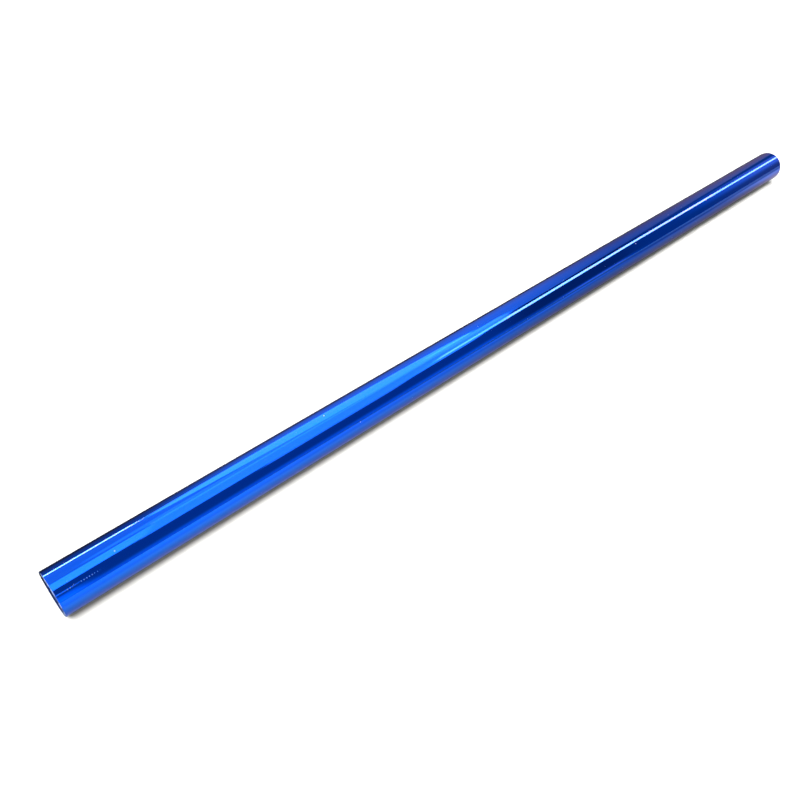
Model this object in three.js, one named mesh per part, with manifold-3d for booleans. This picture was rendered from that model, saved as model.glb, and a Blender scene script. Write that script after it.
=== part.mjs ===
// A straight tubular sway bar: a polished, blue anodised aluminium torsion tube. Each end takes a lever arm,
// whose pilot enters the mouth of the tube and whose splined stub enters a steel insert behind it.
//
// Millimetres, +Z up. The bar lies along X, and the origin is on its axis at mid-length.
// Every end is modelled once, in an end frame: +X points out of the mouth and x = 0 is the tube's end face,
// so a piece that sits a depth d inside the tube has x = -d.

import * as THREE from "three";
import { mergeVertices } from "three/addons/utils/BufferGeometryUtils.js";
import Module from "manifold-3d";

// Torsion tube
const tubeLength = 863.6; // 34 in
const tubeOuterDiameter = 31.75; // 1 1/4 in
const tubeWall = 2.41; // 0.095 in
const rimChamfer = 0.6; // outer edge of each end face
const boreChamfer = 0.5; // inner edge of each end face

// Retaining ring: an internal snap ring with plier lugs, in a groove of the bore
const pilotDepth = 12; // plain bore in front of the ring's groove, where the arm's pilot seats
const ringThickness = 1.2;
const ringSideClearance = 0.1;
const ringGrooveDepth = 0.75;
const ringSeatClearance = 0.15; // between the ring's rim and the bottom of its groove
const ringWidthAtBack = 2.8; // radial width opposite the gap
const ringWidthAtLugs = 1.9;
const ringGap = 5; // between the two lug faces
const lugRadius = 2.3;
const lugHoleDiameter = 2;

// Drive insert: a turned steel plug with a splined socket and a tapped hole behind it
const insertLength = 40;
const insertSetBehindRing = 0.1; // from the groove's inner wall to the insert's face
const bondGap = 0.12; // radial, filled by the adhesive
const insertFrontChamfer = 0.6;
const insertBackChamfer = 1.5;
const bondGrooveCount = 3;
const bondGrooveFromSeal = 3; // land between the seal's groove and the first bond groove
const bondGrooveWidth = 3;
const bondGrooveDepth = 0.4;
const bondGrooveSpacing = 7.5;
const splineTeeth = 20;
const splineMinorDiameter = 15.2;
const splineToothHeight = 0.9;
const splineLength = 24;
const splineLeadIn = 1.2; // chamfer at the mouth of the splined socket
const reliefWidth = 2; // runout groove at the bottom of the splines
const reliefDepth = 0.3; // below the roots of the splines
const tappedHoleDiameter = 8.5; // core of the M10 thread for the arm's bolt
const tappedHoleChamfer = 0.8;

// Seal ring: an O-ring in front of the adhesive
const sealGrooveFromFace = 4;
const sealGrooveWidth = 2.4;
const sealGrooveDepth = 1.35;
const sealClearance = 0.05; // kept all round the squeezed ring
const sealSideClearance = 0.25;

// Facets round every turned piece. They share one phase, so that flats face flats across each fit.
const facets = 48;
const holeFacets = 16;
const sealSectionSides = 8;

// Sizes that follow
const tubeOuterRadius = tubeOuterDiameter / 2;
const boreRadius = tubeOuterRadius - tubeWall;
const ringGrooveWidth = ringThickness + 2 * ringSideClearance;
const ringGrooveRadius = boreRadius + ringGrooveDepth;
const ringDepth = pilotDepth + ringSideClearance;
const insertFaceDepth = pilotDepth + ringGrooveWidth + insertSetBehindRing;
const insertRadius = boreRadius - bondGap;
const splineMinorRadius = splineMinorDiameter / 2;
const splineMajorRadius = splineMinorRadius + splineToothHeight;
const reliefRadius = splineMajorRadius + reliefDepth;

const blueAnodised = new THREE.MeshStandardMaterial({
  color: 0x0a3fd8,
  roughness: 0.12,
  metalness: 1,
});
const turnedSteel = new THREE.MeshStandardMaterial({
  color: 0x9a9ca0,
  roughness: 0.32,
  metalness: 1,
});
const springSteel = new THREE.MeshStandardMaterial({
  color: 0x2b2b2d,
  roughness: 0.4,
  metalness: 1,
});
const blackRubber = new THREE.MeshStandardMaterial({
  color: 0x111111,
  roughness: 0.8,
  metalness: 0,
});

const wasm = await Module();
wasm.setup();

// A closed geometry as a solid that can be joined and cut.
function solidOf(geometry) {
  const bare = geometry.index ? geometry.toNonIndexed() : geometry.clone();
  bare.deleteAttribute("normal");
  bare.deleteAttribute("uv");
  const merged = mergeVertices(bare, 1e-4);
  return new wasm.Manifold(
    new wasm.Mesh({
      numProp: 3,
      vertProperties: merged.getAttribute("position").array,
      triVerts: new Uint32Array(merged.index.array),
    }),
  );
}

function geometryOf(solid) {
  const mesh = solid.getMesh();
  const geometry = new THREE.BufferGeometry();
  geometry.setAttribute(
    "position",
    new THREE.BufferAttribute(mesh.vertProperties, 3),
  );
  geometry.setIndex(new THREE.BufferAttribute(mesh.triVerts, 1));
  geometry.computeVertexNormals();
  return geometry;
}

// A profile of [x, radius] points turned about the X axis. It closes on itself.
function turned(profile) {
  const points = [...profile, profile[0]].map(
    ([x, radius]) => new THREE.Vector2(radius, x),
  );
  return new THREE.LatheGeometry(points, facets, Math.PI / facets).rotateZ(
    -Math.PI / 2,
  );
}

// A disc of the given radius with its axis along X, from x to x + thickness, centred on (y, z).
function disc(radius, x, thickness, y = 0, z = 0, sides = facets) {
  const geometry = new THREE.CylinderGeometry(
    radius,
    radius,
    thickness,
    sides,
    1,
    false,
    Math.PI / sides,
  );
  geometry.rotateZ(-Math.PI / 2);
  geometry.translate(x + thickness / 2, y, z);
  return solidOf(geometry);
}

// The bore's wall at one end, from the mouth inwards: chamfer, pilot and the ring's groove.
function mouthProfile() {
  const grooveStart = pilotDepth;
  const grooveEnd = pilotDepth + ringGrooveWidth;
  return [
    [0, boreRadius + boreChamfer],
    [boreChamfer, boreRadius],
    [grooveStart, boreRadius],
    [grooveStart, ringGrooveRadius],
    [grooveEnd, ringGrooveRadius],
    [grooveEnd, boreRadius],
  ];
}

function torsionTube() {
  const half = tubeLength / 2;
  const rightBore = mouthProfile().map(([depth, radius]) => [
    half - depth,
    radius,
  ]);
  const leftBore = mouthProfile()
    .map(([depth, radius]) => [depth - half, radius])
    .reverse();
  return turned([
    [-half, tubeOuterRadius - rimChamfer],
    [-half + rimChamfer, tubeOuterRadius],
    [half - rimChamfer, tubeOuterRadius],
    [half, tubeOuterRadius - rimChamfer],
    ...rightBore,
    ...leftBore,
  ]);
}

function retainingRing() {
  const rimRadius = ringGrooveRadius - ringSeatClearance;
  const innerRadius = rimRadius - (ringWidthAtBack + ringWidthAtLugs) / 2;
  const innerOffset = (ringWidthAtBack - ringWidthAtLugs) / 2;
  const x = -ringDepth - ringThickness;
  const slab = (radius, y, z, sides) =>
    disc(radius, x - 1, ringThickness + 2, y, z, sides);

  // The lugs sit either side of the gap, at the top.
  const lugHeight = Math.sqrt(
    (rimRadius - lugRadius) ** 2 - (ringGap / 2 + lugRadius) ** 2,
  );
  let ring = disc(rimRadius, x, ringThickness).subtract(
    slab(innerRadius, 0, innerOffset, facets),
  );
  const gap = new THREE.BoxGeometry(
    ringThickness + 2,
    ringGap + 2 * lugRadius,
    rimRadius,
  );
  gap.translate(x + ringThickness / 2, 0, lugHeight + rimRadius / 2);
  ring = ring.subtract(solidOf(gap));
  for (const side of [-1, 1]) {
    const lugY = side * (ringGap / 2 + lugRadius);
    const lug = disc(lugRadius, x, ringThickness, lugY, lugHeight, holeFacets);
    const hole = slab(lugHoleDiameter / 2, lugY, lugHeight, holeFacets);
    ring = ring.add(lug).subtract(hole);
  }
  return geometryOf(ring);
}

// The female spline as a prism: its outline runs along the roots and steps in to the crests between them.
function splineCutter(length) {
  const pitch = (2 * Math.PI) / splineTeeth;
  const crestRadius = splineMinorRadius - 0.5; // inside the bore, so that only the roots cut
  const outline = new THREE.Shape();
  for (let tooth = 0; tooth < splineTeeth; tooth++) {
    const steps = [
      [-0.32, crestRadius],
      [-0.18, splineMajorRadius],
      [0.18, splineMajorRadius],
      [0.32, crestRadius],
    ];
    for (const [share, radius] of steps) {
      const angle = (tooth + share) * pitch;
      const point = [radius * Math.cos(angle), radius * Math.sin(angle)];
      if (tooth === 0 && share === steps[0][0]) outline.moveTo(...point);
      else outline.lineTo(...point);
    }
  }
  outline.closePath();
  const prism = new THREE.ExtrudeGeometry(outline, {
    depth: length,
    bevelEnabled: false,
  });
  prism.rotateY(Math.PI / 2);
  return prism;
}

function driveInsert() {
  const face = -insertFaceDepth;
  const back = face - insertLength;
  const sealFront = face - sealGrooveFromFace;
  const sealBack = sealFront - sealGrooveWidth;
  const splineEnd = face - splineLength;
  const reliefEnd = splineEnd - reliefWidth;
  const bondGrooves = [];
  for (let i = 0; i < bondGrooveCount; i++) {
    const start = sealBack - bondGrooveFromSeal - i * bondGrooveSpacing;
    bondGrooves.push(
      [start, insertRadius],
      [start, insertRadius - bondGrooveDepth],
      [start - bondGrooveWidth, insertRadius - bondGrooveDepth],
      [start - bondGrooveWidth, insertRadius],
    );
  }
  const tappedRadius = tappedHoleDiameter / 2;
  const outside = [
    [face, insertRadius - insertFrontChamfer],
    [face - insertFrontChamfer, insertRadius],
    [sealFront, insertRadius],
    [sealFront, insertRadius - sealGrooveDepth],
    [sealBack, insertRadius - sealGrooveDepth],
    [sealBack, insertRadius],
    ...bondGrooves,
    [back + insertBackChamfer, insertRadius],
    [back, insertRadius - insertBackChamfer],
  ];
  const inside = [
    [back, tappedRadius + tappedHoleChamfer],
    [back + tappedHoleChamfer, tappedRadius],
    [reliefEnd - tappedHoleChamfer, tappedRadius],
    [reliefEnd, tappedRadius + tappedHoleChamfer],
    [reliefEnd, reliefRadius],
    [splineEnd, reliefRadius],
    [splineEnd, splineMinorRadius],
    [face - splineLeadIn, splineMinorRadius],
    [face, splineMinorRadius + splineLeadIn],
  ];
  const blank = solidOf(turned([...outside, ...inside].reverse()));
  const cutter = splineCutter(splineLength + reliefWidth / 2).translate(
    splineEnd - reliefWidth / 2,
    0,
    0,
  );
  return geometryOf(blank.subtract(solidOf(cutter)));
}

// An O-ring squeezed between its groove and the bore: a flattened round section.
function sealRing() {
  const lowest = insertRadius - sealGrooveDepth + sealClearance;
  const highest = boreRadius - sealClearance;
  const centreRadius = (lowest + highest) / 2;
  const halfHeight = (highest - lowest) / 2;
  const halfWidth = sealGrooveWidth / 2 - sealSideClearance;
  const centreX = -insertFaceDepth - sealGrooveFromFace - sealGrooveWidth / 2;
  const section = [];
  for (let i = 0; i < sealSectionSides; i++) {
    const angle = (2 * Math.PI * i) / sealSectionSides;
    section.push([
      centreX + halfWidth * Math.cos(angle),
      centreRadius + halfHeight * Math.sin(angle),
    ]);
  }
  return turned(section.reverse());
}

function piece(name, geometry, material) {
  const mesh = new THREE.Mesh(geometry, material);
  mesh.name = name;
  return mesh;
}

// What sits inside one end of the tube. turn is the angle about Z that points the end frame out of its mouth.
function endGroup(side, mouthX, turn) {
  const group = new THREE.Group();
  group.add(
    piece(side + "_retaining_ring", retainingRing(), springSteel),
    piece(side + "_drive_insert", driveInsert(), turnedSteel),
    piece(side + "_seal_ring", sealRing(), blackRubber),
  );
  group.position.x = mouthX;
  group.rotation.z = turn;
  return group;
}

const swayBar = new THREE.Group();
swayBar.add(piece("torsion_tube", torsionTube(), blueAnodised));
swayBar.add(endGroup("left", -tubeLength / 2, Math.PI));
swayBar.add(endGroup("right", tubeLength / 2, 0));

export default swayBar;
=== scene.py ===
import math

import bmesh
import bpy
from mathutils import Matrix, Vector


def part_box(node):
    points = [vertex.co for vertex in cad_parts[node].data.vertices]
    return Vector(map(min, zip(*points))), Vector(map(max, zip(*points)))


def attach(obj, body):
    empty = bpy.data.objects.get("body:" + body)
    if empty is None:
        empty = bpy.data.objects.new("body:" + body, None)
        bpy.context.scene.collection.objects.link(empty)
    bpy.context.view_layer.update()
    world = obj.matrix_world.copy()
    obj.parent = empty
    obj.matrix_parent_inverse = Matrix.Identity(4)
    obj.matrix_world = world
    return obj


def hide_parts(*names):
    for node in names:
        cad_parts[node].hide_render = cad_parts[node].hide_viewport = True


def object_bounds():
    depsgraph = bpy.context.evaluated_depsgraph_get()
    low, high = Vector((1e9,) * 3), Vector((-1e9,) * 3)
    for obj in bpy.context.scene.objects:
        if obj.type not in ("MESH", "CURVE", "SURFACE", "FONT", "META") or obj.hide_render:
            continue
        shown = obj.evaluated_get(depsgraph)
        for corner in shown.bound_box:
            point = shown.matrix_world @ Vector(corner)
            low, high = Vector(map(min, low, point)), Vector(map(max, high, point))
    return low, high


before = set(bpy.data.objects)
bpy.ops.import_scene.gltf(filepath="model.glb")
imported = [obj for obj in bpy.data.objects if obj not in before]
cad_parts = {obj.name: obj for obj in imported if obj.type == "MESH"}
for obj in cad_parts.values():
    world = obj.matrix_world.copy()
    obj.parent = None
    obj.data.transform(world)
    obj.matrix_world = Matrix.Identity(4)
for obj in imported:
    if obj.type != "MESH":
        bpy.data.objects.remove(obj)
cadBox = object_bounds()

# Sway bar: a polished, blue anodised torsion tube with a splined drive insert behind a snap ring in each end.
# Places in the scene are in metres, the pieces' own sizes in millimetres. The bar lies along X with its axis
# through the origin, so every turned piece is spun about X.

mm = 0.001
samePoint = 1e-7  # metres: points closer than this are one
seamGap = 2e-6  # the same, where two built halves meet
sharpAngle = 28  # degrees: flatter edges are shaded smooth
scene = bpy.context.scene
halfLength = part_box("torsion_tube")[1][0]


def turned(profile, steps, closed=True):
    # profile is a list of (x, radius) in millimetres, spun about X
    bm = bmesh.new()
    points = [bm.verts.new((x * mm, 0, r * mm)) for x, r in profile]
    pairs = list(zip(points, points[1:])) + ([(points[-1], points[0])] if closed else [])
    wire = [bm.edges.new(pair) for pair in pairs]
    bmesh.ops.spin(
        bm, geom=points + wire, cent=(0, 0, 0), axis=(1, 0, 0), angle=math.tau, steps=steps, use_merge=True
    )
    bmesh.ops.remove_doubles(bm, verts=bm.verts, dist=samePoint)
    bmesh.ops.recalc_face_normals(bm, faces=bm.faces)
    return bm


def roundEdges(bm, width, segments, sharperThan=30):
    limit = math.radians(sharperThan)
    edges = [e for e in bm.edges if e.is_manifold and e.calc_face_angle(0) > limit]
    bmesh.ops.bevel(
        bm, geom=edges, offset=width * mm, offset_type="OFFSET", segments=segments, profile=0.5,
        affect="EDGES", material=-1, clamp_overlap=True,
    )


def finishedPiece(name, bm, materials, node, turn=0.0, shiftX=0.0):
    # puts the mesh in its place, with its object left at the origin
    mesh = bpy.data.meshes.new(name)
    bmesh.ops.triangulate(bm, faces=[f for f in bm.faces if len(f.verts) > 4])
    bm.to_mesh(mesh)
    bm.free()
    mesh.transform(Matrix.Translation((shiftX, 0, 0)) @ Matrix.Rotation(turn, 4, "Z"))
    mesh.shade_smooth()
    mesh.set_sharp_from_angle(angle=math.radians(sharpAngle))
    for material in materials:
        mesh.materials.append(material)
    piece = bpy.data.objects.new(name, mesh)
    scene.collection.objects.link(piece)
    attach(piece, "root")
    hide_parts(node)


def addNode(tree, kind, **settings):
    node = tree.nodes.new(kind)
    for key, value in settings.items():
        setattr(node, key, value)
    return node


def feed(tree, socket, value):
    # value is another node's output, or a plain number or colour
    if isinstance(value, bpy.types.NodeSocket):
        tree.links.new(value, socket)
    else:
        socket.default_value = value


def maths(tree, operation, *values, clamp=False):
    node = addNode(tree, "ShaderNodeMath", operation=operation, use_clamp=clamp)
    for socket, value in zip(node.inputs, values):
        feed(tree, socket, value)
    return node.outputs[0]


def product(tree, first, *others):
    for other in others:
        first = maths(tree, "MULTIPLY", first, other)
    return first


def without(tree, mask):
    return maths(tree, "SUBTRACT", 1.0, mask)


def raised(tree, value, mask, amount, clamp=False):
    # value, and amount more where the mask is 1
    return maths(tree, "ADD", value, maths(tree, "MULTIPLY", mask, amount), clamp=clamp)


def mapRange(tree, value, low, high, toLow=0.0, toHigh=1.0):
    node = addNode(tree, "ShaderNodeMapRange", interpolation_type="SMOOTHSTEP")
    tree.links.new(value, node.inputs["Value"])
    for name, number in (("From Min", low), ("From Max", high), ("To Min", toLow), ("To Max", toHigh)):
        node.inputs[name].default_value = number
    return node.outputs[0]


def mixColour(tree, factor, a, b):
    node = addNode(tree, "ShaderNodeMix", data_type="RGBA")
    for index, value in ((0, factor), (6, a), (7, b)):  # the places of Factor, A and B for colours
        feed(tree, node.inputs[index], value)
    return node.outputs[2]


def vectorMaths(tree, operation, a, b):
    node = addNode(tree, "ShaderNodeVectorMath", operation=operation)
    feed(tree, node.inputs[0], a)
    feed(tree, node.inputs["Scale" if operation == "SCALE" else 1], b)
    return node.outputs["Value" if operation == "DISTANCE" else "Vector"]


def splitXYZ(tree, vector):
    node = addNode(tree, "ShaderNodeSeparateXYZ")
    tree.links.new(vector, node.inputs[0])
    return node.outputs


def stretched(tree, vector, scale, turn=(0, 0, 0), shift=(0, 0, 0)):
    node = addNode(tree, "ShaderNodeMapping")
    tree.links.new(vector, node.inputs["Vector"])
    for name, value in (("Scale", scale), ("Rotation", turn), ("Location", shift)):
        node.inputs[name].default_value = value
    return node.outputs[0]


def noise(tree, vector, scale, detail, roughness=0.5):
    node = addNode(tree, "ShaderNodeTexNoise")
    tree.links.new(vector, node.inputs["Vector"])
    feed(tree, node.inputs["Scale"], scale)
    node.inputs["Detail"].default_value = detail
    node.inputs["Roughness"].default_value = roughness
    return node.outputs[0]


def newGroup(name, output, **inputs):
    # an effect that takes Object coordinates and named numbers, and puts out one mask
    group = bpy.data.node_groups.new(name, "ShaderNodeTree")
    group.interface.new_socket(name="Vector", in_out="INPUT", socket_type="NodeSocketVector")
    for socketName, value in inputs.items():
        socket = group.interface.new_socket(name=socketName, in_out="INPUT", socket_type="NodeSocketFloat")
        socket.default_value = value
    group.interface.new_socket(name=output, in_out="OUTPUT", socket_type="NodeSocketFloat")
    start = addNode(group, "NodeGroupInput")
    end = addNode(group, "NodeGroupOutput")
    return group, start.outputs, end.inputs[0]


def useGroup(tree, group, vector, **values):
    node = addNode(tree, "ShaderNodeGroup", node_tree=group)
    tree.links.new(vector, node.inputs["Vector"])
    for name, value in values.items():
        node.inputs[name].default_value = value
    return node.outputs[0]


def makeDrawnLines():
    # faint lines left along a tube by the drawing die and the polishing mop
    group, start, end = newGroup("drawnLines", "Lines", Fineness=2600.0)
    along = stretched(group, start["Vector"], (0.004, 1, 1))
    group.links.new(noise(group, along, start["Fineness"], 3, 0.65), end)
    return group


def makeLatheRings():
    # rings round the axis, as a turning tool leaves them on a faced end
    group, start, end = newGroup("latheRings", "Rings", Pitch=9000.0)
    x, y, z = splitXYZ(group, start["Vector"])
    radius = maths(group, "SQRT", maths(group, "ADD", product(group, y, y), product(group, z, z)))
    place = maths(group, "ADD", product(group, radius, start["Pitch"]), product(group, x, start["Pitch"]))
    rings = addNode(group, "ShaderNodeTexNoise", noise_dimensions="1D")
    group.links.new(place, rings.inputs["W"])
    rings.inputs["Scale"].default_value = 1
    rings.inputs["Detail"].default_value = 2
    group.links.new(rings.outputs[0], end)
    return group


def makeDust():
    # sparse specks of dust and small pits; Share is how much of the surface's cells hold one
    smallest = 0.4  # they run from this much of Size to one more
    group, start, end = newGroup("dustSpecks", "Specks", Cells=320.0, Share=0.03, Size=0.09)
    cells = addNode(group, "ShaderNodeTexVoronoi", feature="F1")
    group.links.new(start["Vector"], cells.inputs["Vector"])
    group.links.new(start["Cells"], cells.inputs["Scale"])
    pick = addNode(group, "ShaderNodeSeparateColor")
    group.links.new(cells.outputs["Color"], pick.inputs[0])
    chosen = maths(group, "LESS_THAN", pick.outputs[0], start["Share"])
    size = maths(group, "MULTIPLY", start["Size"], maths(group, "ADD", pick.outputs[1], smallest))
    inside = maths(group, "LESS_THAN", cells.outputs["Distance"], size)
    group.links.new(maths(group, "MULTIPLY", chosen, inside), end)
    return group


scratch = {
    "families": [(0.35, 0.0), (1.1, 3.7), (-0.75, 8.1)],  # turn in radians, shift of the pattern
    "tilt": 0.3,
    "cells": (22, 420, 60),  # per metre, so that a scratch is long and thin
    "halfWidth": 0.004,
    "patchScale": 0.21,
    "patches": (0.56, 0.62),  # where the patch noise lies above this, there are scratches
}


def makeScratches():
    # thin stray scratches in many directions, from handling
    group, start, end = newGroup("handlingScratches", "Scratches", Amount=0.5)
    total = None
    for turn, shift in scratch["families"]:
        rotation = (turn, scratch["tilt"] * turn, turn)
        place = stretched(group, start["Vector"], scratch["cells"], rotation, (shift, shift, 0))
        middle = maths(group, "ABSOLUTE", maths(group, "SUBTRACT", noise(group, place, 1, 1, 0.4), 0.5))
        line = mapRange(group, middle, 0.0, scratch["halfWidth"], 1, 0)
        gate = mapRange(group, noise(group, place, scratch["patchScale"], 0), *scratch["patches"])
        part = maths(group, "MULTIPLY", line, gate)
        total = part if total is None else maths(group, "MAXIMUM", total, part)
    group.links.new(maths(group, "MULTIPLY", total, start["Amount"]), end)
    return group


drawnLines = makeDrawnLines()
latheRings = makeLatheRings()
dustSpecks = makeDust()
handlingScratches = makeScratches()


def newMaterial(name, **sockets):
    material = bpy.data.materials.new(name)
    material.use_nodes = True
    tree = material.node_tree
    shader = tree.nodes["Principled BSDF"]
    for key, value in sockets.items():
        shader.inputs[key].default_value = value
    place = addNode(tree, "ShaderNodeTexCoord").outputs["Object"]
    return material, tree, shader, place


def bumpOn(tree, shader, height, distance, after=None):
    bump = addNode(tree, "ShaderNodeBump")
    bump.inputs["Distance"].default_value = distance
    bump.inputs["Strength"].default_value = 1.0
    tree.links.new(height, bump.inputs["Height"])
    if after is not None:
        tree.links.new(after, bump.inputs["Normal"])
    tree.links.new(bump.outputs[0], shader.inputs["Normal"])
    return bump.outputs[0]


# In these finishes a pattern's scale is in cells per metre, a bump's height in metres, and a pair such as
# (0.35, 0.65) is where a noise starts and ends its change.

anodised = {
    "blue": (0.001, 0.13, 1.0, 1),
    "deepBlue": (0.001, 0.118, 0.95, 1),
    "cloudScale": (6, 40, 40),
    "cloud": (0.35, 0.65),
    "grazing": (0.55, 0.6, 1.0, 1),
    "bounce": (0.2, 0.2, 0.22, 1),  # what the bar throws back on the paper
    "coatIndex": 1.22,
    "coatRoughness": 0.03,
    "roughness": 0.055,
    "lineRoughness": 0.03,
    "scratchRoughness": 0.16,
    "dustRoughness": 0.5,
    "lineFineness": 2600.0,
    "scratchAmount": 0.35,
    "dust": {"Cells": 230.0, "Share": 0.012, "Size": 0.11},
    "fineDust": {"Cells": 900.0, "Share": 0.006, "Size": 0.16},
    "dustAndGlintColour": (0.62, 0.72, 0.9, 1),
    "dustCover": 0.5,
    "waveScale": (7, 55, 55),
    "waveHeight": 0.00006,
    "lineHeight": 0.0000011,
    "scratchDepth": 2.5,  # against the lines' height, as the next
    "dustHeight": 14,
    "radius": 15.875,
    "marks": [(-391.7, 61.5, 0.62), (-17.0, 25.0, 0.4)],  # along the bar, round it from the front, radius
    "markCore": 0.5,  # of its radius, where a mark is at its strongest
    "markCover": 0.7,
    # the pecks: rough spots whose pale colour is a painted highlight on the lamp row's reflection
    "peckStart": (-0.4295, -0.428),  # metres along the bar
    "peckEnd": (-0.402, -0.408),
    "peckAngle": 42.4,  # round the bar from the front
    "peckWidth": (0.014, 0.036, 0.7, 0),  # radians either side of the row, and how strong there
    "peckPitch": 3700.0,
    "peckGaps": (0.1, 0.7),
    "peckScale": 420,
    "peckPatches": (0.36, 0.54),
}


def marksOn(tree, place):
    # two dents with dust in them
    a = anodised
    total = None
    for along, angle, size in a["marks"]:
        turn, radius = math.radians(angle), a["radius"] * mm
        centre = (along * mm, -radius * math.cos(turn), radius * math.sin(turn))
        gap = vectorMaths(tree, "DISTANCE", place, centre)
        dent = mapRange(tree, gap, a["markCore"] * size * mm, size * mm, a["markCover"], 0)
        total = dent if total is None else maths(tree, "MAXIMUM", total, dent)
    return total


def pecksAndPaintedGlints(tree, place):
    # a short row of rough pecks in front of the left mouth; their lighter colour is a painted highlight, the
    # lamp row's reflection broken into dots
    a = anodised
    x, y, z = splitXYZ(tree, place)
    along = product(tree, mapRange(tree, x, *a["peckStart"]), mapRange(tree, x, *a["peckEnd"]))
    around = maths(tree, "ARCTAN2", z, maths(tree, "MULTIPLY", y, -1.0))
    across = maths(tree, "ABSOLUTE", maths(tree, "SUBTRACT", around, math.radians(a["peckAngle"])))
    beat = maths(tree, "SINE", maths(tree, "MULTIPLY", x, a["peckPitch"]))
    return product(
        tree, mapRange(tree, beat, *a["peckGaps"]), mapRange(tree, across, *a["peckWidth"]),
        mapRange(tree, noise(tree, place, a["peckScale"], 1), *a["peckPatches"]), along,
    )


def makeAnodised():
    a = anodised
    material, tree, shader, place = newMaterial(
        "polishedBlueAnodised",
        **{"Metallic": 1.0, "Specular Tint": a["grazing"], "Coat Weight": 1.0,
           "Coat IOR": a["coatIndex"], "Coat Roughness": a["coatRoughness"]},
    )
    lines = useGroup(tree, drawnLines, place, Fineness=a["lineFineness"])
    scratches = useGroup(tree, handlingScratches, place, Amount=a["scratchAmount"])
    dustAndGlints = useGroup(tree, dustSpecks, place, **a["dust"])
    fineDust = useGroup(tree, dustSpecks, place, **a["fineDust"])
    for more in (fineDust, marksOn(tree, place), pecksAndPaintedGlints(tree, place)):
        dustAndGlints = maths(tree, "MAXIMUM", dustAndGlints, more)
    # the dye takes a little unevenly, in long faint bands
    cloud = mapRange(tree, noise(tree, stretched(tree, place, a["cloudScale"]), 1, 2), *a["cloud"])
    colour = mixColour(tree, cloud, a["deepBlue"], a["blue"])
    # pale colour where there is dust; on the pecks it is a painted highlight
    colour = mixColour(tree, maths(tree, "MULTIPLY", dustAndGlints, a["dustCover"]), colour, a["dustAndGlintColour"])
    # the paper beside the bar stays neutral
    light = addNode(tree, "ShaderNodeLightPath")
    colour = mixColour(tree, light.outputs["Is Diffuse Ray"], colour, a["bounce"])
    tree.links.new(colour, shader.inputs["Base Color"])
    rough = raised(tree, a["roughness"], lines, a["lineRoughness"])
    rough = raised(tree, rough, scratches, a["scratchRoughness"])
    rough = raised(tree, rough, dustAndGlints, a["dustRoughness"], clamp=True)
    tree.links.new(rough, shader.inputs["Roughness"])
    wave = noise(tree, stretched(tree, place, a["waveScale"]), 1, 1)
    bent = bumpOn(tree, shader, wave, a["waveHeight"])
    relief = maths(tree, "SUBTRACT", lines, maths(tree, "MULTIPLY", scratches, a["scratchDepth"]))
    relief = raised(tree, relief, dustAndGlints, a["dustHeight"])
    bumpOn(tree, shader, relief, a["lineHeight"], after=bent)
    return material


bare = {
    "colour": (0.5, 0.63, 0.98, 1),
    "stain": (0.07, 0.12, 0.36, 1),
    "stainScale": 260,
    "stained": (0.46, 0.62),
    "stainCover": 0.85,
    "roughness": 0.26,
    "ringRoughness": 0.14,
    "finePitch": 14000.0,
    "coarsePitch": 3200.0,
    "coarseDepth": 1.6,
    "height": 0.000004,
}


def makeBareAluminium():
    b = bare
    material, tree, shader, place = newMaterial("facedAluminium", Metallic=1.0)
    rings = useGroup(tree, latheRings, place, Pitch=b["finePitch"])
    coarse = useGroup(tree, latheRings, place, Pitch=b["coarsePitch"])
    stain = mapRange(tree, noise(tree, place, b["stainScale"], 3), *b["stained"])
    colour = mixColour(tree, maths(tree, "MULTIPLY", stain, b["stainCover"]), b["colour"], b["stain"])
    tree.links.new(colour, shader.inputs["Base Color"])
    tree.links.new(raised(tree, b["roughness"], rings, b["ringRoughness"]), shader.inputs["Roughness"])
    bumpOn(tree, shader, raised(tree, rings, coarse, b["coarseDepth"]), b["height"])
    return material


inside = {
    # painted shade: both colours are the dye made much darker than outside, for the shade deep in the tube
    "blue": (0.003, 0.03, 0.2, 1),
    "dark": (0.001, 0.01, 0.07, 1),
    "cloudScale": (20, 120, 120),
    "cloud": (0.35, 0.7),
    "coatWeight": 0.5,
    "coatIndex": 1.5,
    "coatRoughness": 0.2,
    "roughness": 0.24,
    "lineRoughness": 0.18,
    "lineFineness": 1500.0,
    "height": 0.000012,
}


def makeShadedBoreAnodised():
    # the bore isn't polished: the dye sits on the extruded, slightly ribbed wall. Its colours are darkened
    # far below the outside's as painted shade inside the tube
    i = inside
    material, tree, shader, place = newMaterial(
        "anodisedBorePaintedShade",
        **{"Metallic": 1.0, "Coat Weight": i["coatWeight"], "Coat IOR": i["coatIndex"],
           "Coat Roughness": i["coatRoughness"]},
    )
    lines = useGroup(tree, drawnLines, place, Fineness=i["lineFineness"])
    cloud = mapRange(tree, noise(tree, stretched(tree, place, i["cloudScale"]), 1, 3), *i["cloud"])
    tree.links.new(mixColour(tree, cloud, i["dark"], i["blue"]), shader.inputs["Base Color"])
    tree.links.new(raised(tree, i["roughness"], lines, i["lineRoughness"]), shader.inputs["Roughness"])
    bumpOn(tree, shader, lines, i["height"])
    return material


steel = {
    "bright": (0.55, 0.555, 0.56, 1),
    "dull": (0.3, 0.29, 0.28, 1),
    "dulled": (0.3, 0.75),
    "oil": (0.36, 0.3, 0.22, 1),
    "oilScale": 320,
    "oiled": (0.45, 0.72),
    "oilCover": 0.45,
    "roughness": 0.24,
    "ringRoughness": 0.2,
    "finePitch": 11000.0,
    "coarsePitch": 2600.0,
    "coarseDepth": 2.0,
    "height": 0.000005,
}


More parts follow.
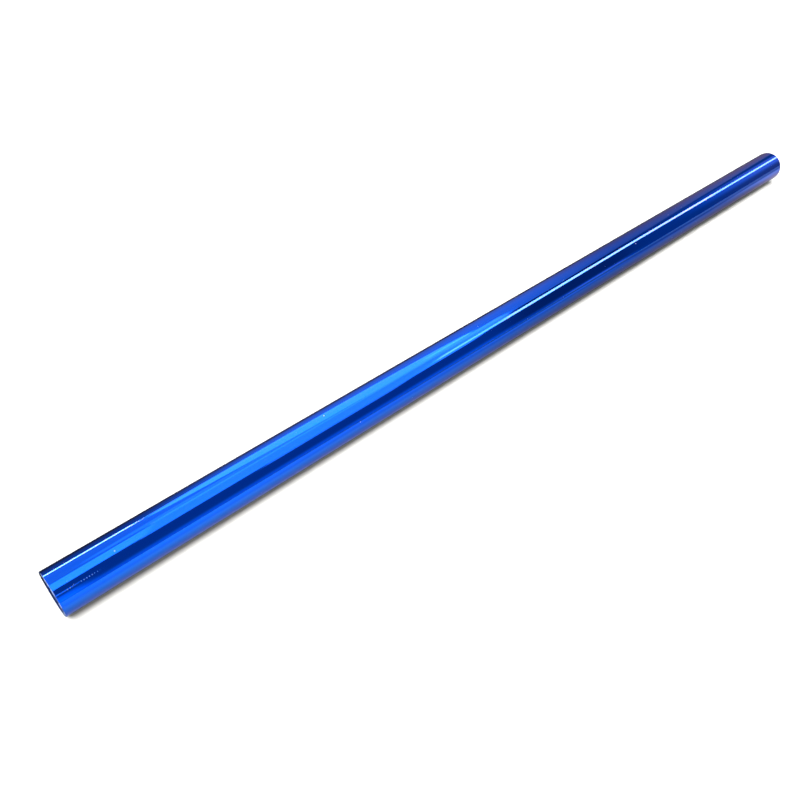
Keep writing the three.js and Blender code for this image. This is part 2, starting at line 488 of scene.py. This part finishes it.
def makeTurnedSteel():
    s = steel
    material, tree, shader, place = newMaterial("turnedOiledSteel", Metallic=1.0)
    rings = useGroup(tree, latheRings, place, Pitch=s["finePitch"])
    coarse = useGroup(tree, latheRings, place, Pitch=s["coarsePitch"])
    oil = mapRange(tree, noise(tree, place, s["oilScale"], 4, 0.6), *s["oiled"])
    colour = mixColour(tree, mapRange(tree, coarse, *s["dulled"]), s["dull"], s["bright"])
    colour = mixColour(tree, maths(tree, "MULTIPLY", oil, s["oilCover"]), colour, s["oil"])
    tree.links.new(colour, shader.inputs["Base Color"])
    tree.links.new(raised(tree, s["roughness"], rings, s["ringRoughness"]), shader.inputs["Roughness"])
    bumpOn(tree, shader, raised(tree, rings, coarse, s["coarseDepth"]), s["height"])
    return material


phosphate = {
    "black": (0.022, 0.022, 0.024, 1),
    "worn": (0.2, 0.2, 0.21, 1),
    "wornScale": 700,
    "rubbed": (0.56, 0.74),
    "rubbedCover": 0.55,
    "rubbedShine": 0.16,
    "metallic": 0.6,
    "roughness": 0.42,
    "grainRoughness": 0.22,
    "grainScale": 9000,
    "height": 0.000006,
}


def makePhosphated():
    # spring steel under black phosphate, rubbed a little where pliers and the groove touch it
    p = phosphate
    material, tree, shader, place = newMaterial("phosphatedSpringSteel", Metallic=p["metallic"])
    grain = noise(tree, place, p["grainScale"], 2, 0.7)
    rubbed = mapRange(tree, noise(tree, place, p["wornScale"], 4, 0.65), *p["rubbed"])
    colour = mixColour(tree, maths(tree, "MULTIPLY", rubbed, p["rubbedCover"]), p["black"], p["worn"])
    tree.links.new(colour, shader.inputs["Base Color"])
    rough = raised(tree, p["roughness"], grain, p["grainRoughness"])
    rough = maths(tree, "SUBTRACT", rough, maths(tree, "MULTIPLY", rubbed, p["rubbedShine"]))
    tree.links.new(rough, shader.inputs["Roughness"])
    bumpOn(tree, shader, grain, p["height"])
    return material


rubber = {
    "black": (0.013, 0.013, 0.014, 1),
    "bloom": (0.04, 0.04, 0.041, 1),
    "bloomScale": 420,
    "bloomed": (0.45, 0.7),
    "specular": 0.4,
    "roughness": 0.55,
    "grainRoughness": 0.2,
    "grainScale": 5000,
    "height": 0.00001,
}


def makeRubber():
    r = rubber
    material, tree, shader, place = newMaterial("nitrileRubber", **{"Specular IOR Level": r["specular"]})
    grain = noise(tree, place, r["grainScale"], 3, 0.6)
    bloom = mapRange(tree, noise(tree, place, r["bloomScale"], 3), *r["bloomed"])
    tree.links.new(mixColour(tree, bloom, r["black"], r["bloom"]), shader.inputs["Base Color"])
    tree.links.new(raised(tree, r["roughness"], grain, r["grainRoughness"]), shader.inputs["Roughness"])
    bumpOn(tree, shader, grain, r["height"])
    return material


anodisedMaterial = makeAnodised()
bareMaterial = makeBareAluminium()
shadedBoreMaterial = makeShadedBoreAnodised()
steelMaterial = makeTurnedSteel()
phosphateMaterial = makePhosphated()
rubberMaterial = makeRubber()
print("materials made")

tube = {
    "outerRadius": 15.875,
    "boreRadius": 13.465,
    "rimChamfer": 0.48,
    "boreChamfer": 0.5,
    "pilotDepth": 12.0,
    "grooveWidth": 1.4,
    "grooveRadius": 14.215,
    "edgeRadius": 0.12,
    "segments": 288,
    "endLoops": (1.2, 14.6),  # from each end, to keep the long faces' shading straight
    "lengthShares": 8,
    "mouthDepth": 2,  # deeper than this, all that isn't outside has the bore's finish, darkened as painted shade
    "faceDepth": 0.04,
    "outsideMargin": 0.05,
    "rimMargin": 0.1,
    "chamferShare": 0.9,  # the part of the bore's chamfer that counts as bore
    "edgeSegments": 3,
}


def makeTube():
    t, half = tube, halfLength / mm
    depths = [
        (0, t["boreRadius"] + t["boreChamfer"]),
        (t["boreChamfer"], t["boreRadius"]),
        (t["pilotDepth"], t["boreRadius"]),
        (t["pilotDepth"], t["grooveRadius"]),
        (t["pilotDepth"] + t["grooveWidth"], t["grooveRadius"]),
        (t["pilotDepth"] + t["grooveWidth"], t["boreRadius"]),
    ]
    outside = [
        (-half, t["outerRadius"] - t["rimChamfer"]),
        (-half + t["rimChamfer"], t["outerRadius"]),
        (half - t["rimChamfer"], t["outerRadius"]),
        (half, t["outerRadius"] - t["rimChamfer"]),
    ]
    rightBore = [(half - depth, radius) for depth, radius in depths]
    leftBore = [(depth - half, radius) for depth, radius in reversed(depths)]
    bm = turned(outside + rightBore + leftBore, t["segments"])
    roundEdges(bm, t["edgeRadius"], t["edgeSegments"])
    shares = t["lengthShares"]
    cuts = [s * (half - depth) for s in (-1, 1) for depth in t["endLoops"]]
    cuts += [half * k / shares for k in range(1 - shares, shares)]
    for x in cuts:
        bmesh.ops.bisect_plane(
            bm, geom=bm.verts[:] + bm.edges[:] + bm.faces[:], plane_co=(x * mm, 0, 0), plane_no=(1, 0, 0),
            dist=samePoint,
        )
    outerLimit = (t["outerRadius"] - t["outsideMargin"]) * mm
    rimLimit = (t["rimChamfer"] - t["rimMargin"]) * mm
    boreLimit = (t["boreRadius"] + t["boreChamfer"] * t["chamferShare"]) * mm
    polished, faced, bore = 0, 1, 2  # the order of the materials below
    for face in bm.faces:
        centre = face.calc_center_median()
        radius = math.hypot(centre.y, centre.z)
        depth = halfLength - abs(centre.x)
        if radius > outerLimit and depth > rimLimit:
            face.material_index = polished
        elif depth > t["mouthDepth"] * mm or (radius < boreLimit and depth > t["faceDepth"] * mm):
            face.material_index = bore
        else:
            face.material_index = faced
    materials = [anodisedMaterial, bareMaterial, shadedBoreMaterial]
    finishedPiece("torsionTube", bm, materials, "torsion_tube")


makeTube()
print("torsion tube made")

ring = {
    "depth": 12.1,
    "thickness": 1.2,
    "rimRadius": 14.065,
    "innerRadius": 11.715,
    "innerOffset": 0.45,
    "lugRadius": 2.3,
    "lugY": 4.8,
    "holeRadius": 1.0,
    "edgeRadius": 0.14,
    "steps": {"lug": 40, "rim": 150, "inner": 130, "hole": 32},
}


def arc(centreY, centreZ, radius, start, end, steps):
    return [
        (centreY + radius * math.cos(start + (end - start) * k / steps),
         centreZ + radius * math.sin(start + (end - start) * k / steps))
        for k in range(steps + 1)
    ]


def ringOutline():
    # one lug, the rim the long way round, the other lug and back along the inside
    r, steps = ring, ring["steps"]
    lugZ = math.sqrt((r["rimRadius"] - r["lugRadius"]) ** 2 - r["lugY"] ** 2)
    lugAngle = math.atan2(lugZ, r["lugY"])  # the lug touches the rim on this line
    # where the inner edge meets the lug
    dy, dz = r["lugY"], lugZ - r["innerOffset"]
    apart = math.hypot(dy, dz)
    along = (apart**2 + r["innerRadius"] ** 2 - r["lugRadius"] ** 2) / (2 * apart)
    across = math.sqrt(r["innerRadius"] ** 2 - along**2)
    meetY = (dy * along + dz * across) / apart
    meetZ = (dz * along - dy * across) / apart + r["innerOffset"]
    innerStart = math.atan2(meetZ - r["innerOffset"], meetY)
    lugEnd = math.atan2(meetZ - lugZ, meetY - r["lugY"])
    right = arc(r["lugY"], lugZ, r["lugRadius"], lugEnd, lugAngle - math.tau, steps["lug"])
    rim = arc(0, 0, r["rimRadius"], lugAngle, -math.pi - lugAngle, steps["rim"])
    left = [(-y, z) for y, z in reversed(right)]
    inner = arc(0, r["innerOffset"], r["innerRadius"], -math.pi - innerStart, innerStart, steps["inner"])
    return right[:-1] + rim + left[1:-1] + inner[:-1], lugZ


def makeRing(side, turn, mouthX):
    r = ring
    outline, lugZ = ringOutline()
    holes = [arc(s * r["lugY"], lugZ, r["holeRadius"], 0, math.tau, r["steps"]["hole"])[:-1] for s in (-1, 1)]
    curve = bpy.data.curves.new(side + "RingOutline", "CURVE")
    curve.dimensions = "2D"
    curve.fill_mode = "BOTH"
    curve.extrude = (r["thickness"] / 2 - r["edgeRadius"]) * mm
    curve.bevel_depth = r["edgeRadius"] * mm
    curve.bevel_resolution = 2
    curve.offset = -r["edgeRadius"] * mm
    for loop in [outline] + holes:
        spline = curve.splines.new("POLY")
        spline.points.add(len(loop) - 1)
        for point, (y, z) in zip(spline.points, loop):
            point.co = (y * mm, z * mm, 0, 1)
        spline.use_cyclic_u = True
    drawn = bpy.data.objects.new(side + "RingOutline", curve)
    bm = bmesh.new()
    bm.from_mesh(drawn.to_mesh())
    drawn.to_mesh_clear()
    bpy.data.objects.remove(drawn)
    bmesh.ops.remove_doubles(bm, verts=bm.verts, dist=seamGap)
    # the curve lies in XY: stand it up across the bar, with its thickness along X
    stand = Matrix(((0, 0, 1, 0), (1, 0, 0, 0), (0, 1, 0, 0), (0, 0, 0, 1)))
    shift = Matrix.Translation((-(r["depth"] + r["thickness"] / 2) * mm, 0, 0))
    bmesh.ops.transform(bm, matrix=shift @ stand, verts=bm.verts)
    bmesh.ops.recalc_face_normals(bm, faces=bm.faces)
    finishedPiece(
        side + "RetainingRing", bm, [phosphateMaterial], side + "_retaining_ring",
        turn, mouthX,
    )


insert = {
    "face": 13.5,
    "length": 40.0,
    "radius": 13.345,
    "frontChamfer": 0.6,
    "backChamfer": 1.5,
    "sealGroove": (4.0, 2.4, 1.35),  # from the face, width, depth
    "bondGrooves": (3, 3.0, 3.0, 0.4, 7.5),  # count, land after the seal, width, depth, spacing
    "teeth": 20,
    "minorRadius": 7.6,
    "majorRadius": 8.5,
    "rootShare": 0.18,  # of a tooth's pitch, from the middle of a root to the flank
    "flankShare": 0.14,
    "splineLength": 24.0,
    "leadIn": 1.2,
    "relief": (2.0, 8.8),  # width, radius
    "boltChamfer": 0.8,
    "threadMajor": 5.0,
    "threadPitch": 1.5,
    "threadSection": [(0.0, 5.05), (0.55, 4.25), (0.82, 4.25), (1.37, 5.05)],  # along the hole, radius
    "threadSteps": 40,
    "edgeRadius": 0.12,
    "edgeSegments": 2,
    "sharperThan": 40,  # degrees: only such edges are rounded
    "segments": 320,
}


def toothRadius(angle):
    # flat crests and roots with straight flanks between them, as the broach cuts them
    i = insert
    place = (angle / math.tau * i["teeth"]) % 1
    share = min(place, 1 - place)  # 0 in the middle of a root
    flank = min(max((share - i["rootShare"]) / i["flankShare"], 0), 1)
    return i["majorRadius"] + (i["minorRadius"] - i["majorRadius"]) * flank


def insertProfile(face, back, splineEnd, reliefEnd):
    # from the mouth along the outside and back through the bolt hole to the relief
    i = insert
    fromFace, grooveWidth, grooveDepth = i["sealGroove"]
    sealFront, sealBack = face - fromFace, face - fromFace - grooveWidth
    count, land, bondWidth, bondDepth, spacing = i["bondGrooves"]
    profile = [
        (face, i["minorRadius"] + i["leadIn"]),
        (face, i["radius"] - i["frontChamfer"]),
        (face - i["frontChamfer"], i["radius"]),
        (sealFront, i["radius"]),
        (sealFront, i["radius"] - grooveDepth),
        (sealBack, i["radius"] - grooveDepth),
        (sealBack, i["radius"]),
    ]
    for k in range(count):
        start = sealBack - land - k * spacing
        profile += [
            (start, i["radius"]),
            (start, i["radius"] - bondDepth),
            (start - bondWidth, i["radius"] - bondDepth),
            (start - bondWidth, i["radius"]),
        ]
    return profile + [
        (back + i["backChamfer"], i["radius"]),
        (back, i["radius"] - i["backChamfer"]),
        (back, i["threadMajor"] + i["boltChamfer"]),
        (back + i["boltChamfer"], i["threadMajor"]),
        (reliefEnd - i["boltChamfer"], i["threadMajor"]),
        (reliefEnd, i["threadMajor"] + i["boltChamfer"]),
        (reliefEnd, i["relief"][1]),
        (splineEnd, i["relief"][1]),
    ]


def growSpline(bm, face, splineEnd):
    # the splined wall grows from the mouth's edge: down the lead-in cone, along the teeth, out to the relief
    i = insert
    mouthRadius = i["minorRadius"] + i["leadIn"]
    rim = [e for e in bm.edges if e.is_boundary and abs(e.verts[0].co.x - face * mm) < seamGap]
    for stage in ("cone", "teeth", "relief"):
        grown = bmesh.ops.extrude_edge_only(bm, edges=rim)["geom"]
        rim = [g for g in grown if isinstance(g, bmesh.types.BMEdge)]
        for v in (g for g in grown if isinstance(g, bmesh.types.BMVert)):
            angle = math.atan2(v.co.z, v.co.y)
            radius = i["relief"][1] if stage == "relief" else toothRadius(angle)
            v.co.y, v.co.z = radius * mm * math.cos(angle), radius * mm * math.sin(angle)
            v.co.x = (face - (mouthRadius - radius) if stage == "cone" else splineEnd) * mm
    bmesh.ops.remove_doubles(bm, verts=bm.verts, dist=seamGap)
    bmesh.ops.recalc_face_normals(bm, faces=bm.faces)


def windThread(bm, first, last):
    # a ridge wound along the tapped hole, its foot sunk in the wall
    i = insert
    turns = (first - last) / i["threadPitch"] - 1
    steps = int(turns * i["threadSteps"])
    thread = bmesh.new()
    corners = [thread.verts.new(((last + x) * mm, 0, r * mm)) for x, r in i["threadSection"]]
    section = thread.faces.new(corners)
    bmesh.ops.spin(
        thread, geom=corners + section.edges[:] + [section], cent=(0, 0, 0), axis=(1, 0, 0),
        angle=math.tau * turns, steps=steps, dvec=(turns * i["threadPitch"] * mm / steps, 0, 0),
    )
    bmesh.ops.recalc_face_normals(thread, faces=thread.faces)
    wound = bpy.data.meshes.new("thread")
    thread.to_mesh(wound)
    thread.free()
    bm.from_mesh(wound)
    bpy.data.meshes.remove(wound)


def makeInsert(side, turn, mouthX):
    i = insert
    face, back = -i["face"], -i["face"] - i["length"]
    splineEnd = face - i["splineLength"]
    reliefEnd = splineEnd - i["relief"][0]
    bm = turned(insertProfile(face, back, splineEnd, reliefEnd), i["segments"], closed=False)
    roundEdges(bm, i["edgeRadius"], i["edgeSegments"], i["sharperThan"])
    growSpline(bm, face, splineEnd)
    windThread(bm, reliefEnd - i["boltChamfer"], back + i["boltChamfer"])
    finishedPiece(
        side + "DriveInsert", bm, [steelMaterial], side + "_drive_insert", turn, mouthX
    )


seal = {
    "centreDepth": 18.7, "centreRadius": 12.73, "halfHeight": 0.685, "halfWidth": 0.95, "sectionPoints": 24,
    "segments": 160,
}


def makeSeal(side, turn, mouthX):
    s, count = seal, seal["sectionPoints"]
    section = [
        (-s["centreDepth"] + s["halfWidth"] * math.cos(math.tau * k / count),
         s["centreRadius"] + s["halfHeight"] * math.sin(math.tau * k / count))
        for k in range(count)
    ]
    bm = turned(section, s["segments"])
    finishedPiece(side + "SealRing", bm, [rubberMaterial], side + "_seal_ring", turn, mouthX)


for side, turn, mouthX in (("left", math.pi, -halfLength), ("right", 0.0, halfLength)):
    makeRing(side, turn, mouthX)
    makeInsert(side, turn, mouthX)
    makeSeal(side, turn, mouthX)
    print(side, "end made")

# The floor is seen as plain paper. What the bar mirrors of it has its own painted light, shade and tint, with
# a painted contact shadow near the bar: a fade is the two places where it starts and ends, in metres, and the
# values there.
floor = {
    "size": 9.0,
    "drop": 0.0001,  # metres below the bar, so that they don't share a plane
    "roughness": 0.9,
    "paper": (0.86, 0.855, 0.83, 1),
    "frontFade": (-0.36, 0.1, 0.66, 0.39),
    "rightLift": (0.38, 0.46, 0.0, 0.14),
    "shadeTowardsBar": (-0.12, -0.045, 1.0, 0.73),
    "shadowUnderBar": (-0.045, -0.016, 1.0, 0.6),
    "farOut": (-2.5, -0.35, 1.7, 1.0),
    "dimAlong": (-0.14, 0.12, 0, 0.32),
    "dimAcross": (-0.1, -0.05),
    "dimEnd": (0.34, 0.44, 1, 0.25),
    "slant": (0.62, 0.79),  # the unlit corner's edge leans this way
    "unlitEdge": (0.16, 0.23),
    "unlitAcross": (-0.075, -0.05, 1, 0),
    "unlitDepth": 0.6,
    "behindLeft": (-0.38, -0.25, 0.035, 0.08),
    "behindMiddle": (-0.12, 0.05, 0, 0.035),
    "behindRight": (0.3, 0.55, 0.0, 0.04),
    "behindEdge": (0.0, 0.02),
    "farTint": (0.95, 1.0, 1.0, 1),
    "tints": [  # along or across the bar, where it comes in, tint
        ("y", (-0.07, -0.022), (2.0, 1.5, 1.0, 1)),
        ("x", (0.32, 0.42, 0, 0.7), (2.0, 1.5, 1.0, 1)),
        ("y", (-0.0175, -0.01), (1.35, 1.55, 1.35, 1)),
        ("x", (-0.433, -0.438), (0.9, 0.95, 1.15, 1)),
    ],
}


def paintedMirroredPaper(tree, place):
    f = floor
    x, y = splitXYZ(tree, place)[:2]
    # the mirrored paper in front is painted darker to the right, a painted falloff of the light
    front = maths(tree, "ADD", mapRange(tree, x, *f["frontFade"]), mapRange(tree, x, *f["rightLift"]))
    dimmer = product(
        tree, mapRange(tree, x, *f["dimAlong"]), mapRange(tree, y, *f["dimAcross"]),
        mapRange(tree, x, *f["dimEnd"]),
    )
    leanX, leanY = f["slant"]
    slant = maths(tree, "SUBTRACT", maths(tree, "MULTIPLY", x, leanX), maths(tree, "MULTIPLY", y, leanY))
    unlit = product(
        tree, mapRange(tree, slant, *f["unlitEdge"]), mapRange(tree, y, *f["unlitAcross"]), f["unlitDepth"]
    )
    # painted shade: darker towards the bar, a painted contact shadow under its edge, the dim and unlit
    # patches, and brighter far out
    front = product(
        tree, front, mapRange(tree, y, *f["shadeTowardsBar"]), mapRange(tree, y, *f["shadowUnderBar"]),
        without(tree, dimmer), mapRange(tree, y, *f["farOut"]), without(tree, unlit),
    )
    # behind the bar the mirrored paper is painted dimmer still
    behind = mapRange(tree, x, *f["behindLeft"])
    behind = maths(tree, "SUBTRACT", behind, mapRange(tree, x, *f["behindMiddle"]))
    behind = maths(tree, "ADD", behind, mapRange(tree, x, *f["behindRight"]))
    # painted tints of the light on the mirrored paper
    tint = f["farTint"]
    for axis, fade, nextTint in f["tints"]:
        tint = mixColour(tree, mapRange(tree, x if axis == "x" else y, *fade), tint, nextTint)
    front = vectorMaths(tree, "SCALE", tint, front)
    return mixColour(tree, mapRange(tree, y, *f["behindEdge"]), front, behind)


def makeFloor():
    bm = bmesh.new()
    bmesh.ops.create_grid(bm, x_segments=2, y_segments=2, size=floor["size"])
    mesh = bpy.data.meshes.new("floor")
    bm.to_mesh(mesh)
    bm.free()
    mesh.transform(Matrix.Translation((0, 0, cadBox[0][2] - floor["drop"])))
    material, tree, shader, place = newMaterial(
        "paperFloor", Roughness=floor["roughness"], **{"Specular IOR Level": 0.0}
    )
    light = addNode(tree, "ShaderNodeLightPath")
    colour = mixColour(tree, light.outputs["Is Glossy Ray"], floor["paper"], paintedMirroredPaper(tree, place))
    tree.links.new(colour, shader.inputs["Base Color"])
    mesh.materials.append(material)
    plane = bpy.data.objects.new("floor", mesh)
    scene.collection.objects.link(plane)


makeFloor()

# Flat lights overhead, facing down: centre and size in metres, turn in degrees, brightness as it is seen.
# The white ones also light the paper. The warm and pale tubes are only there to be mirrored.
white, warm, pale = (1, 1, 1), (1, 0.27, 0.12), (1, 0.5, 0.3)
lights = {
    "stripStart": {"centre": (1.2, -0.54, 1.6), "size": (0.34, 0.3), "colour": pale, "strength": 11,
                   "turn": 8},
    "stripNear": {"centre": (1.74, -0.425, 1.6), "size": (0.8, 0.36), "colour": warm, "strength": 27,
                  "turn": 11},
    "stripMiddle": {"centre": (2.45, -0.37, 1.6), "size": (0.68, 0.34), "colour": warm, "strength": 24,
                    "turn": -5},
    "stripFar": {"centre": (3.25, -0.445, 1.6), "size": (0.94, 0.32), "colour": pale, "strength": 12,
                 "turn": -5},
    "backStrip": {"centre": (-0.32, 2.38, 1.6), "size": (0.8, 0.6), "colour": warm, "strength": 36},
    "softBox": {"centre": (0.66, 1.33, 1.6), "size": (1.15, 2.3), "colour": white, "strength": 2.1,
                "turn": 12, "shape": "ELLIPSE"},
    "softBoxTip": {"centre": (1.1, 0.6, 1.59), "size": (0.22, 0.22), "colour": white, "strength": 1.6},
    "panelLeft": {"centre": (-0.49, -0.44, 1.6), "size": (0.8, 0.88), "colour": white, "strength": 2.1},
    "panelMiddle": {"centre": (0.46, -0.4, 1.6), "size": (1.1, 1.24), "colour": white, "strength": 1.5},
    "panelBack": {"centre": (0.22, 0.4, 1.6), "size": (1.0, 0.5), "colour": white, "strength": 0.65,
                  "turn": 8, "shape": "ELLIPSE"},
    "backTail": {"centre": (0.24, 2.42, 1.6), "size": (0.42, 0.34), "colour": pale, "strength": 2.4},
    "panelEdge": {"centre": (0.7, -1.14, 1.6), "size": (0.62, 0.24), "colour": white, "strength": 1.1},
    "panelRight": {"centre": (1.17, -0.28, 1.6), "size": (0.32, 1.45), "colour": white, "strength": 1.8},
    "farLamp": {"centre": (-0.44, -2.25, 1.6), "size": (0.42, 0.45), "colour": white, "strength": 1.0},
}
key = {"from": (-0.42, -0.26, 1.0), "strength": 3.5, "softness": 30}


def makeLights():
    for name, light in lights.items():
        width, depth = light["size"]
        shape = light.get("shape", "RECTANGLE")
        area = width * depth * (math.pi / 4 if shape == "ELLIPSE" else 1)
        data = bpy.data.lights.new(name, "AREA")
        data.shape = shape
        data.size, data.size_y = width, depth
        data.energy = light["strength"] * math.pi * area
        data.color = light["colour"]
        lamp = bpy.data.objects.new(name, data)
        lamp.location = light["centre"]
        lamp.rotation_euler = (0, 0, math.radians(light.get("turn", 0)))
        lamp.visible_camera = False
        lamp.visible_diffuse = light["colour"] == white
        scene.collection.objects.link(lamp)
    # one broad light gives the shadow its place, and isn't mirrored
    sun = bpy.data.lights.new("key", "SUN")
    sun.energy, sun.angle = key["strength"], math.radians(key["softness"])
    sunObject = bpy.data.objects.new("key", sun)
    sunObject.rotation_euler = Vector(key["from"]).to_track_quat("Z", "Y").to_euler()
    sunObject.visible_glossy = False
    scene.collection.objects.link(sunObject)


makeLights()

# The room, as the bar mirrors it. x, y and z are the parts of a direction, and a fade is where it starts and
# ends and the values there.
room = {
    "lit": (0.5, 0.5, 0.5, 1),
    "seen": (1.2, 1.2, 1.2, 1),
    "wallRise": (0.12, 0.38, 0.32, 0.86),
    "wallFall": (0.6, 0.82, 0, 0.58),
    "wallDown": (0.0, 0.55, 0.55, 1.0),
    "ceilingAlong": (0.2, 0.32, 0.55, 0.0),
    "ceilingEdge": (0.6, 0.68),
    "wallTints": [
        ((0.15, 0.34), (0.85, 1.0, 1.0, 1)),
        ((0.62, 0.75), (1.3, 1.05, 1.0, 1)),
        ((0.75, 0.83), (2.7, 1.6, 1.2, 1)),
    ],
    "wallBlue": (0.55, 0.85, 1.0, 1),
    "frontFade": (0.62, 0.68, 0.25, 0.12),
    "frontEnd": (0.75, 0.79, 0, -0.09),
    "lowAlong": (0.6, 0.68, 0.5, 0.28),
    "lowEnd": (0.76, 0.785, 1, 0),
    "lowHeight": (0.36, 0.02),
    "leftAlong": (0.05, 0.09, 0.85, 0),
    "leftHeight": (0.6, 0.3),
    "glowAlong": (0.8, 0.875, 0, 0.5),
    "glowHeight": (0.35, 1.3),
    "glowPast": (0.0, 0.36, 1, 0),
    "hazeAlong": (0.815, 0.88),
    "hazePast": (0.1, 0.3, 1, 0),
    "shade": (0.12, 0.72, 1.0, 1),
    "haze": (1.0, 0.9, 1.0, 1),
    "lilacStart": (0.68, 0.73),
    "lilacEnd": (0.757, 0.768, 1, 0),
    "lilacHeight": (0.16, 0.08),
    "lilacStrength": 0.5,
    "lilac": (2.2, 0.9, 0.8),
    "edgeStart": 0.7,
    "edgeSlope": 1.65,
    "edge": (-0.01, 0.04),
    "leftSide": (-0.04, -0.25),
    "leftLight": (1.15, 1.15, 1.2, 1),
    "smallest": 0.02,  # keeps the divisions from running away
}


def backWall(tree, x, z):
    # dark on the left, brighter in the middle, warm grey to the right, and fading downwards
    r = room
    wall = maths(tree, "SUBTRACT", mapRange(tree, x, *r["wallRise"]), mapRange(tree, x, *r["wallFall"]))
    wall = maths(tree, "MULTIPLY", wall, mapRange(tree, z, *r["wallDown"]))
    tone = r["wallBlue"]
    for fade, nextTone in r["wallTints"]:
        tone = mixColour(tree, mapRange(tree, x, *fade), tone, nextTone)
    ceiling = product(tree, mapRange(tree, x, *r["ceilingAlong"]), mapRange(tree, z, *r["ceilingEdge"]))
    bright = vectorMaths(tree, "SCALE", white, ceiling)
    return vectorMaths(tree, "ADD", vectorMaths(tree, "SCALE", tone, wall), bright)


def frontRoom(tree, x, y, z):
    # dim, lighter near the horizon on the left and high up at the far right
    r = room
    steep = maths(tree, "DIVIDE", z, maths(tree, "MAXIMUM", maths(tree, "MULTIPLY", y, -1.0), r["smallest"]))
    past = maths(tree, "DIVIDE", y, maths(tree, "MAXIMUM", z, r["smallest"]))
    base = maths(tree, "SUBTRACT", mapRange(tree, x, *r["frontFade"]), mapRange(tree, x, *r["frontEnd"]))
    low = product(
        tree, mapRange(tree, x, *r["lowAlong"]), mapRange(tree, x, *r["lowEnd"]),
        mapRange(tree, steep, *r["lowHeight"]),
    )
    low = raised(tree, low, mapRange(tree, x, *r["leftAlong"]), mapRange(tree, steep, *r["leftHeight"]))
    glow = product(
        tree, mapRange(tree, x, *r["glowAlong"]), mapRange(tree, steep, *r["glowHeight"]),
        mapRange(tree, past, *r["glowPast"]),
    )
    front = maths(tree, "ADD", base, maths(tree, "ADD", low, glow))
    hazy = product(tree, mapRange(tree, x, *r["hazeAlong"]), mapRange(tree, past, *r["hazePast"]))
    tone = vectorMaths(tree, "SCALE", mixColour(tree, hazy, r["shade"], r["haze"]), front)
    low = product(tree, mapRange(tree, steep, *r["lilacHeight"]), r["lilacStrength"])
    lilac = product(tree, mapRange(tree, x, *r["lilacStart"]), mapRange(tree, x, *r["lilacEnd"]), low)
    return vectorMaths(tree, "ADD", tone, vectorMaths(tree, "SCALE", r["lilac"], lilac))


def makeWorld():
    # an even room for what is lit, and a dim workshop for what is mirrored
    r = room
    world = bpy.data.worlds.new("studio")
    scene.world = world
    world.use_nodes = True
    tree = world.node_tree
    x, y, z = splitXYZ(tree, addNode(tree, "ShaderNodeTexCoord").outputs["Generated"])
    # the slanting edge between the shaded front and the warm wall
    lean = maths(tree, "MULTIPLY", maths(tree, "SUBTRACT", x, r["edgeStart"]), r["edgeSlope"])
    edge = maths(tree, "SUBTRACT", y, maths(tree, "MAXIMUM", lean, 0.0))
    front, wall = frontRoom(tree, x, y, z), backWall(tree, x, z)
    mirrored = mixColour(tree, mapRange(tree, edge, *r["edge"]), front, wall)
    # to the left of the bar the room is bright, which the near end's rim catches
    mirrored = mixColour(tree, mapRange(tree, x, *r["leftSide"]), mirrored, r["leftLight"])
    path = addNode(tree, "ShaderNodeLightPath").outputs
    seen = mixColour(tree, path["Is Diffuse Ray"], r["seen"], r["lit"])
    colour = mixColour(tree, path["Is Glossy Ray"], seen, mirrored)
    tree.links.new(colour, tree.nodes["Background"].inputs["Color"])


makeWorld()

camera = {
    "place": (-0.45107, -0.32695, 0.38332),
    "turn": (48.1035, 0.0, -42.4876),
    "lens": 33.752,
    "sensor": 36,
    "nearest": 0.01,
}
cameraData = bpy.data.cameras.new("camera")
cameraData.lens = camera["lens"]
cameraData.sensor_width = camera["sensor"]
cameraData.clip_start = camera["nearest"]
cameraObject = bpy.data.objects.new("camera", cameraData)
cameraObject.location = camera["place"]
cameraObject.rotation_euler = [math.radians(a) for a in camera["turn"]]
scene.collection.objects.link(cameraObject)
scene.camera = cameraObject
scene.view_settings.view_transform = "Standard"
print("stage made")
